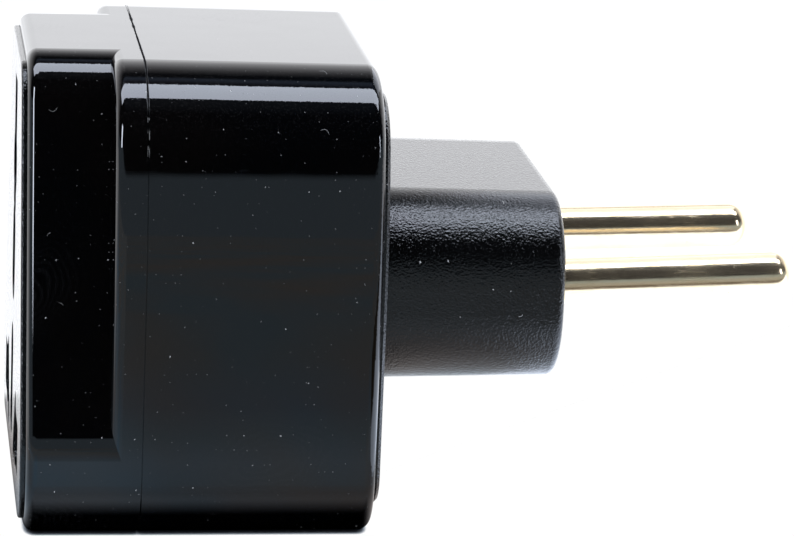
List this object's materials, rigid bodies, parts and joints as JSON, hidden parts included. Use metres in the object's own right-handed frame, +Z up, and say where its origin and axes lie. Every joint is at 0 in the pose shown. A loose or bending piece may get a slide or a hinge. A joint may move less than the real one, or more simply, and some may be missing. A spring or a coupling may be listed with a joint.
{
  "type": "travel adapter",
  "caption": "Travel adapter with a shuttered universal socket face on one end and a round-pin plug on the other, in a gloss case with a stepped neck.",
  "frame": {"origin": "on the resting face, under the middle of the whole length from socket face to pin tips", "axes": "+X from the socket face towards the pin tips, +Z up, +Y to the side of the neutral pin"},
  "size_m": [0.0684, 0.0426, 0.0405],
  "materials": {
    "gloss_black": "polished moulding",
    "matt_black": "fine spark texture",
    "nickel": "nickel plate on brass",
    "contact_brass": "stamped strip",
    "spring_steel": "drawn and formed",
    "screw_steel": "zinc plated",
    "white_moulding": "as moulded"
  },
  "bodies": {
    "case": {"face_plate": "matt_black", "front_cover": "gloss_black", "rear_housing": "gloss_black", "plug_base": "matt_black", "line_pin": "nickel", "neutral_pin": "nickel", "line_contact": "contact_brass", "neutral_contact": "contact_brass", "line_grip_spring": "spring_steel", "neutral_grip_spring": "spring_steel", "contact_carrier": "white_moulding", "line_shutter_spring": "spring_steel", "neutral_shutter_spring": "spring_steel", "shutter_retainer": "white_moulding", "retainer_screws": "screw_steel", "carrier_screws": "screw_steel", "assembly_screws": "screw_steel"},
    "shutter": {"shutter": "white_moulding"}
  },
  "joints": [
    {"name": "shutter_slide", "type": "slide", "parent": "case", "child": "shutter", "axis": [0, 0, 1], "range_m": [0, 0.0062], "stiffness_N_per_m": 60, "springref_m": -0.006, "deforming": ["line_shutter_spring", "neutral_shutter_spring"]}
  ]
}
